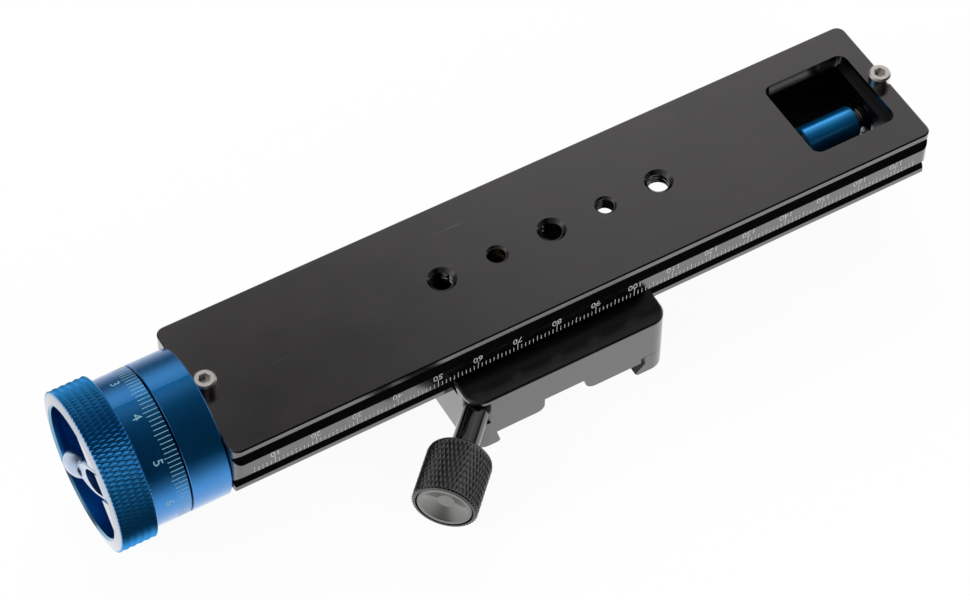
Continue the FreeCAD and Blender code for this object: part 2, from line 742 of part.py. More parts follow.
def crank():
    """The folding crank: a flared fork on the hinge pin, a spindle in it and a grip that spins."""
    turn = cup_turn()
    bell = turned("ForkBell", [
        ("0 - ear_radius - 0.1", "0"),
        ("0 - ear_radius - 0.1", "yoke_half"),
        ("yoke_reach * 0.42", "yoke_half"),
        ("yoke_reach * 0.62", "yoke_half * 0.94"),
        ("yoke_reach * 0.8", "yoke_half * 0.79"),
        ("yoke_reach * 0.93", "neck_radius + 0.1"),
        ("yoke_reach", "neck_radius"),
        ("yoke_reach", "0"),
    ])
    place(bell, *on_crank(0, 0), turn)
    slab = doc.addObject("Part::Box", "ForkSlab")
    bind(slab, Length="yoke_reach + 1", Width="2 * yoke_half + 2", Height="2 * ear_radius")
    lift = turn.multVec(Vector(0, 0, 1)).x
    place(slab, *on_crank(0, -size("yoke_half") - 1, f"{lift:.0f} * ear_radius * ( 0 - 1 )"), turn)
    plate = fused("ForkPlate", [slab, hinge_rod("ear_radius", "yoke_half + 1")])

    gap = doc.addObject("PartDesign::Body", "ForkGap")
    plan = sketch_on(gap, "ForkGapPlan", "XY_Plane")
    side = [
        ("0 - ear_radius - 3", "fork_half"),
        ("fork_depth * 0.45", "fork_half"),
        ("fork_depth * 0.6", "fork_half * 0.96"),
        ("fork_depth * 0.75", "fork_half * 0.84"),
        ("fork_depth * 0.87", "fork_half * 0.64"),
        ("fork_depth * 0.95", "fork_half * 0.42"),
        ("fork_depth", "fork_half * 0.1"),
    ]
    outline(plan, side + [(along, f"0 - {across}") for along, across in reversed(side)])
    pad(gap, plan, "14", middle=True)
    place(gap, *on_crank(0, 0), turn)
    bore = hinge_rod("hinge_pin + fit_gap", "hinge_pin_half")
    along = Rotation(Vector(0, 0, 1), turn.multVec(Vector(1, 0, 0)))
    seat = cylinder("spindle_radius", "6", *on_crank(size("spindle_start"), 0), along)
    keep(cut("CrankYoke", common("ForkShape", bell, plate), [gap, bore, seat]), "crank_yoke")
    keep(cylinder("spindle_radius", "spindle_length", *on_crank(size("spindle_start"), 0), along),
         "crank_spindle")

    grip = turned("CrankGrip", [
        ("0", "spindle_radius + fit_gap"),
        ("0", "neck_radius"),
        ("0.3", "neck_radius + 0.15"),
        ("grip_length * 0.18", "grip_radius * 0.95"),
        ("grip_length * 0.35", "grip_radius"),
        ("grip_length * 0.6", "grip_radius * 0.99"),
        ("grip_length * 0.78", "grip_radius * 0.9"),
        ("grip_length * 0.89", "grip_radius * 0.72"),
        ("grip_length * 0.96", "grip_radius * 0.47"),
        ("grip_length * 0.99", "grip_radius * 0.25"),
        ("grip_length", "grip_radius * 0.1"),
        ("grip_length", "0"),
        ("spindle_start + spindle_length - yoke_reach + 0.3", "0"),
        ("spindle_start + spindle_length - yoke_reach + 0.3", "spindle_radius + fit_gap"),
    ])
    start = size("yoke_reach") + size("grip_gap")
    keep(place(grip, *on_crank(start, 0), turn), "crank_grip")


def on_clamp_line(offset):
    """The x, y and z expressions of a point on the clamp knob's line."""
    return (f"clamp_x + 0.707107 * ( {offset} )", f"clamp_y + 0.707107 * ( {offset} )", "0 - clamp_depth")


def carriage_block():
    """The carriage: slide above, fixed jaw and clamp seat below."""
    body = doc.addObject("PartDesign::Body", "CarriageExtrusion")
    sketch = sketch_on(body, "CarriageSide", "XZ_Plane")
    right = "block_left + block_length"
    outline(sketch, [
        ("block_left", "0 - block_top"),
        (right, "0 - block_top"),
        (right, "0 - parting_depth"),
        ("seat_end", "0 - parting_depth"),
        ("seat_end", "0 - seat_depth"),
        ("recess_right", "0 - seat_depth"),
        ("recess_right", "0 - recess_roof"),
        ("recess_left", "0 - recess_roof"),
        ("recess_left", "0 - seat_depth"),
        ("fixed_jaw_root", "0 - seat_depth"),
        ("fixed_jaw_tip", "0.5 - jaw_depth"),
        ("fixed_jaw_tip - 0.5", "0 - jaw_depth"),
        ("block_left + 0.4", "0 - jaw_depth"),
        ("block_left", "0.4 - jaw_depth"),
    ])
    pad(body, sketch, "2 * block_half", middle=True)
    place(body, "0", "0", "0")
    doc.recompute()
    for alias, radius in (("recess_left", "recess_round_left"), ("recess_right", "recess_round_right")):
        low = [f"Edge{k}" for k, edge in enumerate(body.Shape.Edges, start=1)
               if abs(edge.BoundBox.XMin - size("frame_x") - size(alias)) < 0.01
               and edge.BoundBox.XLength < 0.01 and edge.BoundBox.ZLength < 0.01
               and abs(edge.BoundBox.ZMin - size("frame_z") + size("seat_depth")) < 0.01]
        last = body.Tip
        rounding = body.newObject("PartDesign::Fillet", alias.title().replace("_", "") + "Round")
        rounding.Base = (last, low)
        bind(rounding, Radius=radius)
        doc.recompute()
    blank = rounded_blank("CarriageBlank", "block_length", "block_half", "block_top", "jaw_depth",
                          "block_left", "block_corner", "block_chamfer")
    shaped = common("CarriageShape", body, blank)

    slide = doc.addObject("PartDesign::Body", "SlideWay")
    section = sketch_on(slide, "SlideSection", "YZ_Plane")
    side = [
        ("slide_mouth", "1 - block_top"),
        ("slide_mouth", "0 - block_top"),
        ("slide_wide", "0 - block_top - ( slide_wide - slide_mouth )"),
        ("slide_relief", "0 - block_top - ( slide_relief - slide_mouth )"),
        ("slide_relief", "0 - relief_floor"),
        ("lip_root_half", "0 - relief_floor"),
        ("lip_root_half", "0 - slide_floor"),
    ]
    outline(section, side + [(f"0 - ( {across} )", up) for across, up in reversed(side)])
    pad(slide, section, "block_length + 4")
    place(slide, "block_left - 2", "0", "0")

    clamp_pocket = doc.addObject("Part::Box", "ClampPocket")
    bind(clamp_pocket, Length="pocket_floor + 8", Width="2 * pocket_half_width",
         Height="2 * pocket_half_height")
    corner = CLAMP_LINE.multVec(Vector(-8, -size("pocket_half_width"), 0))
    place(clamp_pocket, f"clamp_x + {corner.x:.6f}", f"clamp_y + {corner.y:.6f}",
          "0 - clamp_depth - pocket_half_height", CLAMP_LINE)
    x, y, z = on_clamp_line("pocket_floor - 0.5")
    thread = cylinder("clamp_screw_radius + fit_gap", "clamp_screw_tip + 1.3 - pocket_floor", x, y, z,
                      ALONG_CLAMP)
    x, y, z = on_clamp_line("clamp_screw_tip - 0.1")
    plunger_bore = cylinder("plunger_radius + fit_gap", "11.4", x, y, z, ALONG_CLAMP)
    tools = [slide, clamp_pocket, thread, plunger_bore]
    for left, y in (("draw_rod_left - 1.6", "0 - rod_y"), ("guide_rod_left - 1.6", "rod_y")):
        tools.append(cylinder("rod_radius + fit_gap", f"seat_end - ( {left} ) + 1", left, y, "0 - rod_depth",
                              ALONG_X))
    for y in ("spring_y", "0 - spring_y"):
        tools.append(cylinder("spring_radius + 0.2", "seat_end - spring_left + 1", "spring_left", y,
                              "0 - spring_depth", ALONG_X))
    tools.append(box("6.1", "2 * lug_half + 0.4", "parting_depth - lug_top + 0.2 + 1", "seat_end",
                     "0 - lug_half - 0.2", "0 - parting_depth - 1"))
    tools.append(box("2 * nut_half + 0.1", "2 * nut_width_half + 0.1", "nut_foot - slide_floor + 1",
                     "nut_middle - nut_half - 0.05", "0 - nut_width_half - 0.05", "0 - nut_foot"))
    for x, y in nut_screw_places():
        tools.append(cylinder("small_thread + 0.1", "recess_roof - nut_foot + 2", x, y,
                              "0 - recess_roof - 1"))
    keep(cut("CarriageBlock", shaped, tools), "carriage_block")


def nut_screw_places():
    """Two screws in the clamp seat's recess that hold the lead nut."""
    return [("nut_screw_x", "nut_screw_y"), ("nut_screw_x", "0 - nut_screw_y")]


def lead_nut():
    """The nut block on the carriage, reaching up through the open channel to the lead screw."""
    blank = box("2 * nut_half", "2 * nut_width_half", "nut_foot - nut_top", "nut_middle - nut_half",
                "0 - nut_width_half", "0 - nut_foot")
    bore = cylinder("nut_bore", "2 * nut_half + 2", "nut_middle - nut_half - 1", "0", "0 - screw_depth",
                    ALONG_X)
    threads = [cylinder("small_thread", "5.1", x, y, "0 - nut_foot - 0.1") for x, y in nut_screw_places()]
    keep(cut("LeadNut", blank, [bore] + threads), "lead_nut")
    screws = [cap_screw("recess_roof - nut_foot + 4.8", x, y, "0 - recess_roof", DOWN)
              for x, y in nut_screw_places()]
    keep(group("NutScrews", screws), "nut_screws")


def clamp_jaw():
    """The moving jaw with its lug, two rods and the opening springs."""
    body = doc.addObject("PartDesign::Body", "JawExtrusion")
    sketch = sketch_on(body, "JawSide", "XZ_Plane")
    right = "block_left + block_length"
    outline(sketch, [
        ("jaw_left", "0 - parting_depth - jaw_gap"),
        (right, "0 - parting_depth - jaw_gap"),
        (right, "0.4 - jaw_depth"),
        (f"{right} - 0.4", "0 - jaw_depth"),
        ("jaw_tip + 0.7", "0 - jaw_depth"),
        ("jaw_tip", "0.7 - jaw_depth"),
        ("jaw_left + 0.2", "0 - seat_depth - 0.65"),
        ("jaw_left", "0 - seat_depth - 0.45"),
    ])
    pad(body, sketch, "2 * block_half", middle=True)
    place(body, "0", "0", "0")
    blank = rounded_blank("JawBlank", "block_length", "block_half", "block_top", "jaw_depth",
                          "block_left", "block_corner", "block_chamfer")
    shaped = common("JawShape", body, blank)
    lug = box("lug_thick", "2 * lug_half", "parting_depth + jaw_gap - lug_top + 1", "lug_left",
              "0 - lug_half", "0 - parting_depth - jaw_gap - 1")
    bores = [cylinder("rod_radius", "lug_thick + 1", "lug_left - 0.5", y, "0 - rod_depth", ALONG_X)
             for y in ("rod_y", "0 - rod_y")]
    keep(cut("ClampJaw", fused("JawWhole", [shaped, lug]), bores), "clamp_jaw")

    reach = "lug_left + lug_thick - "
    rod = cylinder("rod_radius", reach + "draw_rod_left", "draw_rod_left", "0 - rod_y", "0 - rod_depth",
                   ALONG_X)
    notch = doc.addObject("PartDesign::Body", "WedgeNotch")
    plan = sketch_on(notch, "WedgePlan", "XY_Plane")
    face = "wedge_x + clamp_y - clamp_x + fit_gap"
    outline(plan, [
        ("draw_rod_left - 2", "0 - rod_y - 4"),
        ("notch_end", "0 - rod_y - 4"),
        ("notch_end", f"{face} + ( notch_end - wedge_x ) / wedge_run"),
        ("draw_rod_left - 2", f"{face} + ( draw_rod_left - 2 - wedge_x ) / wedge_run"),
    ])
    pad(notch, plan, "6")
    place(notch, "0", "0", "0 - rod_depth - 3")
    keep(cut("DrawRod", rod, [notch]), "draw_rod")
    keep(cylinder("rod_radius", reach + "guide_rod_left", "guide_rod_left", "rod_y", "0 - rod_depth",
                  ALONG_X), "guide_rod")

    springs = []
    for y in ("spring_y", "0 - spring_y"):
        tube = cylinder("spring_radius", "lug_left - spring_left", "spring_left", y, "0 - spring_depth",
                        ALONG_X)
        bore = cylinder("spring_inner", "lug_left - spring_left + 2", "spring_left - 1", y,
                        "0 - spring_depth", ALONG_X)
        springs.append(cut("Spring", tube, [bore]))
    keep(group("JawSprings", springs), "jaw_springs")


def clamp_plunger():
    """The wedge plunger that the clamp screw pushes against the draw rod's notch."""
    x, y, z = on_clamp_line("clamp_screw_tip")
    pin = cylinder("plunger_radius", "14", x, y, z, ALONG_CLAMP)
    face = doc.addObject("PartDesign::Body", "WedgeFace")
    plan = sketch_on(face, "WedgeFacePlan", "XY_Plane")
    level = "wedge_x + clamp_y - clamp_x"
    outline(plan, [
        ("wedge_x - 12", f"{level} - 12 / wedge_run"),
        ("wedge_x + 12", f"{level} + 12 / wedge_run"),
        ("wedge_x + 12", f"{level} + 16"),
        ("wedge_x - 12", f"{level} + 16"),
    ])
    pad(face, plan, "6")
    place(face, "0", "0", "0 - clamp_depth - 3")
    keep(cut("ClampPlunger", pin, [face]), "clamp_plunger")


def clamp_knob():
    """The knurled knob, its end cap and its screw, all on the 45 degree line."""
    knob = turned("ClampKnob", [
        ("clamp_knob_out + cap_recess_depth", "clamp_shank_radius"),
        ("clamp_knob_out + cap_recess_depth", "cap_recess"),
        ("clamp_knob_out", "cap_recess"),
        ("clamp_knob_out", "clamp_knob_radius - clamp_knob_bevel"),
        ("clamp_knob_out + clamp_knob_bevel", "clamp_knob_radius"),
        ("clamp_knob_in - 0.5", "clamp_knob_radius"),
        ("clamp_knob_in", "clamp_knob_radius - 0.5"),
        ("clamp_knob_in", "clamp_shank_radius"),
    ])
    keep(place(knob, "clamp_x", "clamp_y", "0 - clamp_depth", CLAMP_LINE), "clamp_knob")
    cap = turned("ClampKnobCap", [
        ("clamp_knob_out + cap_dish_depth", "0"),
        ("clamp_knob_out + cap_dish_depth", "cap_middle"),
        ("clamp_knob_out + 0.2", "cap_dish"),
        ("clamp_knob_out + 0.1", "cap_dish + 0.2"),
        ("clamp_knob_out + 0.1", "cap_radius - 0.3"),
        ("clamp_knob_out + 0.4", "cap_radius"),
        ("clamp_knob_out + cap_recess_depth", "cap_radius"),
        ("clamp_knob_out + cap_recess_depth", "0"),
    ])
    keep(place(cap, "clamp_x", "clamp_y", "0 - clamp_depth", CLAMP_LINE), "clamp_knob_cap")
    screw = turned("ClampScrew", [
        ("clamp_screw_head", "0"),
        ("clamp_screw_head", "clamp_shank_radius"),
        ("clamp_shank_end", "clamp_shank_radius"),
        ("clamp_shank_end", "clamp_screw_radius"),
        ("clamp_screw_tip - 0.5", "clamp_screw_radius"),
        ("clamp_screw_tip", "clamp_screw_radius - 0.5"),
        ("clamp_screw_tip", "0"),
    ])
    keep(place(screw, "clamp_x", "clamp_y", "0 - clamp_depth", CLAMP_LINE), "clamp_screw")


rail_body()
knob_housing()
end_block()
rail_fasteners()
bearings()
lead_screw()
dial_and_ring()
crank()
carriage_block()
lead_nut()
clamp_jaw()
clamp_plunger()
clamp_knob()
doc.recompute()

failed = [item.Name for item in doc.Objects if {"Invalid", "Error"} & set(item.State)]
if failed:
    raise RuntimeError(f"these objects did not build: {failed}")
for item in PARTS:
    if item.Shape.isNull() or not item.Shape.isValid() or not item.Shape.Solids:
        raise RuntimeError(f"{item.Label} has no valid solid")
for item in PARTS:
    item.Shape.exportStep(f"parts/{item.Label}.step")
whole = Part.makeCompound([item.Shape for item in PARTS]).BoundBox
print(len(PARTS), "sub-parts; box", [round(v, 3) for v in
      (whole.XMin, whole.YMin, whole.ZMin, whole.XMax, whole.YMax, whole.ZMax)])
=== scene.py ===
"""Looks of a macro focusing rail: its marks, knurls, threads, finishes, floor, light and camera."""
import json
import math

import bmesh
import bpy
import numpy as np
from mathutils import Matrix


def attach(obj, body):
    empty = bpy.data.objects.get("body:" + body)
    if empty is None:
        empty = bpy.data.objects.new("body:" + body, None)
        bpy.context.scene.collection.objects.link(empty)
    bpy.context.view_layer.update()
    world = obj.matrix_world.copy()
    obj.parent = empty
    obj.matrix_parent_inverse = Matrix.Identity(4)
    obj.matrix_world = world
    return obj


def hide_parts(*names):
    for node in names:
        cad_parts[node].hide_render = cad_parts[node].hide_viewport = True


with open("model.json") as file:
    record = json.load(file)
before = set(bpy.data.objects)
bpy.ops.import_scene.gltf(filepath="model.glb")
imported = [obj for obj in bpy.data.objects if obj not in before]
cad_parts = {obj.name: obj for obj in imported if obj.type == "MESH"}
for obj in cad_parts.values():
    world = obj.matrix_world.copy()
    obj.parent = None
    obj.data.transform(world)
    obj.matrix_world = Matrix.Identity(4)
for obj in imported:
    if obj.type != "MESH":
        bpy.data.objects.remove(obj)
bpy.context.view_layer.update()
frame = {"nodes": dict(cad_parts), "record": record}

# Lengths are millimetres in the rail's own axes: X along the rail from its knob end, Y across it and
# Z up from the plate's flat top. RAIL_ORIGIN is where these axes start in the frame, whose own origin
# is on the ground under the object's middle.
RAIL_ORIGIN = np.array([-75.25, 10.75, 29.5])
SCREW_DEPTH = 10.6
BAND_SIDE = 19.0
BAND_BOTTOM = 9.45
DRUM_RADIUS = 17.2
DRUM_EDGE = -10.1
RING_RADIUS = 18.9
RING_FRONT = -27.4
RING_BACK = -18.6
HINGE_ANGLE = 140.0
HINGE_RADIUS = 13.9
CRANK_X = -25.65
SPINDLE_BORE = 1.05
GRIP_START = 16.15
GRIP_LENGTH = 12.2
KNOB_RADIUS = 7.45
CLAMP_START = np.array([53.7, -26.0, -17.4])

TURN = 2 * math.pi
ALONG_RAIL = np.array([1.0, 0.0, 0.0])
ACROSS = np.array([0.0, 1.0, 0.0])
UP = np.array([0.0, 0.0, 1.0])
# A line is its start, its way and two directions square to it.
SCREW_LINE = (np.array([0.0, 0.0, -SCREW_DEPTH]), ALONG_RAIL, ACROSS, UP)
CLAMP_WAY = np.array([1.0, 1.0, 0.0]) / math.sqrt(2)
CLAMP_LINE = (CLAMP_START, CLAMP_WAY, UP, np.cross(CLAMP_WAY, UP))


def around(columns):
    """That many even angles, once round."""
    return np.arange(columns) * TURN / columns


def on_line(line, along, radius, angle):
    """Points around a line: its start, plus along times its way, plus radius times the turned side."""
    start, way, side, lift = line
    along, radius, angle = np.broadcast_arrays(along, radius, angle)
    return (start + along[..., None] * way + (radius * np.cos(angle))[..., None] * side
            + (radius * np.sin(angle))[..., None] * lift)


def rings(line, before, along, reach, after):
    """Rings of points round a line: a worked stretch between plain (along, radius) rings.

    reach is the stretch's radius at each place along the line and at each even angle round it.
    """
    columns = reach.shape[1]
    before = np.reshape(before, (-1, 2))
    after = np.reshape(after, (-1, 2))
    places = np.concatenate([before[:, 0], along, after[:, 0]])
    radius = np.concatenate([before[:, 1:].repeat(columns, axis=1), reach,
                             after[:, 1:].repeat(columns, axis=1)])
    return on_line(line, places[:, None], radius, around(columns)[None, :])


def grid_faces(rows, columns, wrap_rows=False):
    """Quads of a grid whose rows are rings; outward where rows run forward on an outer surface."""
    row = np.arange(rows if wrap_rows else rows - 1)[:, None]
    column = np.arange(columns)[None, :]
    after_row = (row + 1) % rows
    after_column = (column + 1) % columns
    corners = (row * columns + column, row * columns + after_column,
               after_row * columns + after_column, after_row * columns + column)
    shape = (row.size, column.size)
    return np.stack([np.broadcast_to(corner, shape) for corner in corners], -1).reshape(-1, 4)


def make_piece(name, points, face_sets, body, slot, materials=None, smooth_angle=35.0, close=None,
               face_looks=None):
    """A piece from points in the rail's millimetres and arrays of faces, riding on a body.

    Its material is its slot's, or face_looks counts each face's in the materials. close, in
    millimetres, merges the points of seams and poles.
    """
    mesh = bpy.data.meshes.new(name)
    places = (np.asarray(points, dtype=float).reshape(-1, 3) + RAIL_ORIGIN) / 1000.0
    face_sets = [np.asarray(faces, dtype=np.int32) for faces in face_sets]
    corners = np.concatenate([faces.ravel() for faces in face_sets])
    sides = np.concatenate([np.full(len(faces), faces.shape[1]) for faces in face_sets])
    mesh.vertices.add(len(places))
    mesh.vertices.foreach_set("co", places.astype(np.float32).ravel())
    mesh.loops.add(len(corners))
    mesh.loops.foreach_set("vertex_index", corners)
    mesh.polygons.add(len(sides))
    mesh.polygons.foreach_set("loop_start", (np.cumsum(sides) - sides).astype(np.int32))
    if face_looks is not None:
        mesh.polygons.foreach_set("material_index", np.asarray(face_looks, dtype=np.int32))
    mesh.update(calc_edges=True)
    mesh.validate()
    if close:
        work = bmesh.new()
        work.from_mesh(mesh)
        bmesh.ops.remove_doubles(work, verts=work.verts, dist=close / 1000.0)
        bmesh.ops.dissolve_degenerate(work, edges=work.edges, dist=close / 1000.0)
        work.to_mesh(mesh)
        work.free()
    mesh.shade_smooth()
    mesh.set_sharp_from_angle(angle=math.radians(smooth_angle))
    for material in materials or [FINISHES[slot]]:
        mesh.materials.append(material)
    piece = bpy.data.objects.new(name, mesh)
    bpy.context.scene.collection.objects.link(piece)
    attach(piece, body)
    return piece


def mesh_arrays(mesh):
    """A mesh's corners (n, 3) and its triangles."""
    mesh.calc_loop_triangles()
    points = np.empty(len(mesh.vertices) * 3)
    mesh.vertices.foreach_get("co", points)
    triangles = np.empty(len(mesh.loop_triangles) * 3, dtype=np.int32)
    mesh.loop_triangles.foreach_get("vertices", triangles)
    return points.reshape(-1, 3), triangles.reshape(-1, 3)


def turned_piece(name, line, profile, columns, body, slot, smooth_angle=35.0, loop=False):
    """A surface of revolution: the profile's (along, radius) points carried once round a line."""
    profile = np.array(profile, dtype=float)
    points = on_line(line, profile[:, 0][:, None], profile[:, 1][:, None], around(columns)[None, :])
    return make_piece(name, points, [grid_faces(len(profile), columns, wrap_rows=loop)], body, slot,
                      smooth_angle=smooth_angle, close=0.001)


def wave(turns):
    """A ridge profile: 0 in the groove at whole numbers and 1 on the ridge half way between."""
    return 1.0 - np.abs(2.0 * (turns - np.floor(turns)) - 1.0)


KNURL_CUTS = 8


def knurl_height(row, column):
    """Height of a diamond knurl, from 0 to 1, on a grid with KNURL_CUTS rows and columns to its steps.

    It is the lower of two crossed sets of ridges, so each diamond is a pyramid of four flat faces.
    """
    return np.minimum(wave((column + row) / KNURL_CUTS), wave((column - row) / KNURL_CUTS))


def knurl_faces(quads, rows, columns):
    """Two triangles from each quad of a knurl's grid, cut along its ridge or groove.

    The cut is the diagonal whose mean height is nearer the knurl's height at the quad's middle.
    """
    row = np.arange(rows)[:, None]
    column = np.arange(columns)[None, :]
    middle = knurl_height(row + 0.5, column + 0.5)
    rising = (knurl_height(row, column) + knurl_height(row + 1, column + 1)) / 2
    falling = (knurl_height(row, column + 1) + knurl_height(row + 1, column)) / 2
    cut = (np.abs(rising - middle) <= np.abs(falling - middle)).reshape(-1, 1)
    first = np.where(cut, quads[:, [0, 1, 2]], quads[:, [0, 1, 3]])
    second = np.where(cut, quads[:, [0, 2, 3]], quads[:, [1, 2, 3]])
    return np.concatenate([first, second])


def knurled_band(line, before, along, after, outside, depth, teeth):
    """Points and triangles of a closed band: a diamond knurl between plain (along, radius) rings.

    The knurl's radius is the outside one on its ridges, and its depth less in its grooves.
    """
    columns = KNURL_CUTS * teeth
    row = len(before) + np.arange(len(along))
    tooth = knurl_height(row[:, None], np.arange(columns)[None, :])
    points = rings(line, before, along, outside - depth * (1.0 - tooth), after)
    quads = grid_faces(len(points), columns, wrap_rows=True)
    return points.reshape(-1, 3), knurl_faces(quads, len(points), columns)


def new_group(name, inputs, outputs):
    """An empty shader group with number sockets, and a vector socket first among its inputs."""
    tree = bpy.data.node_groups.new(name, "ShaderNodeTree")
    tree.interface.new_socket("Place", in_out="INPUT", socket_type="NodeSocketVector")
    for label in inputs:
        tree.interface.new_socket(label, in_out="INPUT", socket_type="NodeSocketFloat")
    for label in outputs:
        tree.interface.new_socket(label, in_out="OUTPUT", socket_type="NodeSocketFloat")
    return tree, tree.nodes.new("NodeGroupInput"), tree.nodes.new("NodeGroupOutput")


def feed(tree, value, socket):
    """Link a socket to another, or set it to a number."""
    if isinstance(value, (int, float)):
        socket.default_value = value
    else:
        tree.links.new(value, socket)


def arithmetic(tree, operation, *values):
    """A math node fed by sockets or numbers."""
    node = tree.nodes.new("ShaderNodeMath")
    node.operation = operation
    for socket, value in zip(node.inputs, values):
        feed(tree, value, socket)
    return node.outputs[0]


def limited(tree, value, low, high):
    """A value kept between two numbers."""
    return arithmetic(tree, "MINIMUM", arithmetic(tree, "MAXIMUM", value, low), high)


def noise(tree, place, waves, detail, dimensions="3D"):
    """A noise texture; its waves to the metre are a socket or a number."""
    node = tree.nodes.new("ShaderNodeTexNoise")
    node.noise_dimensions = dimensions
    node.inputs["Detail"].default_value = detail
    feed(tree, waves, node.inputs["Scale"])
    tree.links.new(place, node.inputs["W" if dimensions == "1D" else "Vector"])
    return node.outputs[0]


def level_ramp(tree, share, stops):
    """A grey ramp over a share from 0 to 1, from (share, level) stops."""
    ramp = tree.nodes.new("ShaderNodeValToRGB")
    while len(ramp.color_ramp.elements) < len(stops):
        ramp.color_ramp.elements.new(0.5)
    for element, (position, level) in zip(ramp.color_ramp.elements, stops):
        element.position = position
        element.color = (level, level, level, 1.0)
    tree.links.new(share, ramp.inputs[0])
    return ramp.outputs[0]


def colour_mix(tree, share, first, second):
    """A colour between two others, which are colours or sockets."""
    node = tree.nodes.new("ShaderNodeMix")
    node.data_type = "RGBA"
    tree.links.new(share, node.inputs[0])
    for value, socket in ((first, node.inputs[6]), (second, node.inputs[7])):
        if isinstance(value, tuple):
            socket.default_value = (*value, 1.0)
        else:
            tree.links.new(value, socket)
    return node.outputs[2]


def surface_group(name):
    """A group for a worked surface: its fine waves to the metre in, and tone, roughness and height out."""
    return new_group(name, ["Waves", "Base roughness", "Spread"], ["Tone", "Roughness", "Height"])


def end_surface(tree, source, result, tone, swing, height):
    """The group's outputs; its roughness is the base, plus or less the spread times a noise's swing."""
    centred = arithmetic(tree, "MULTIPLY_ADD", swing, 2.0, -1.0)
    spread, base = source.outputs["Spread"], source.outputs["Base roughness"]
    rough = arithmetic(tree, "MULTIPLY_ADD", centred, spread, base)
    tree.links.new(tone, result.inputs["Tone"])
    tree.links.new(rough, result.inputs["Roughness"])
    tree.links.new(height, result.inputs["Height"])
    return tree


def blasted_grain():
    """Fine bead blasting, with smudges of two sizes in its tone and roughness."""
    tree, source, result = surface_group("blasted_grain")
    place = source.outputs["Place"]
    fine = noise(tree, place, source.outputs["Waves"], 2.0)
    broad = arithmetic(tree, "MULTIPLY", noise(tree, place, 70.0, 4.0), 0.7)
    small = arithmetic(tree, "MULTIPLY", noise(tree, place, 600.0, 3.0), 0.3)
    smudge = arithmetic(tree, "ADD", broad, small)
    return end_surface(tree, source, result, smudge, smudge, fine)


def turned_lines():
    """Lathe lines: ripples of the place along the turned line plus the distance from it.

    The line is the X axis of the place that comes in.
    """
    tree, source, result = surface_group("turned_lines")
    split = tree.nodes.new("ShaderNodeSeparateXYZ")
    tree.links.new(source.outputs["Place"], split.inputs[0])
    along, side, lift = split.outputs
    side_square = arithmetic(tree, "MULTIPLY", side, side)
    distance = arithmetic(tree, "SQRT", arithmetic(tree, "MULTIPLY_ADD", lift, lift, side_square))
    lines = noise(tree, arithmetic(tree, "ADD", along, distance), source.outputs["Waves"], 3.0, "1D")
    broad = noise(tree, source.outputs["Place"], 90.0, 3.0)
    return end_surface(tree, source, result, broad, lines, lines)


def small_scuffs():
    """Sparse hairlines from handling, in patches, as a mask from 0 to the amount."""
    tree, source, result = new_group("small_scuffs", ["Amount"], ["Mask"])
    stretch = tree.nodes.new("ShaderNodeMapping")
    stretch.inputs["Rotation"].default_value = (0.3, 0.2, 0.9)
    stretch.inputs["Scale"].default_value = (90.0, 1800.0, 1800.0)
    tree.links.new(source.outputs["Place"], stretch.inputs["Vector"])
    masks = []
    for pattern, start, slope in ((noise(tree, stretch.outputs[0], 1.0, 2.0), 0.66, 9.0),
                                  (noise(tree, source.outputs["Place"], 160.0, 2.0), 0.5, 4.0)):
        above = arithmetic(tree, "MULTIPLY", arithmetic(tree, "SUBTRACT", pattern, start), slope)
        masks.append(arithmetic(tree, "MAXIMUM", above, 0.0))
    hairs = arithmetic(tree, "MINIMUM", arithmetic(tree, "MULTIPLY", *masks), 1.0)
    tree.links.new(arithmetic(tree, "MULTIPLY", hairs, source.outputs["Amount"]), result.inputs["Mask"])
    return tree


GRAIN = blasted_grain()
LINES = turned_lines()
SCUFFS = small_scuffs()
ROUGHNESS_SPREAD = 0.06
TONE_SPREAD = 0.12


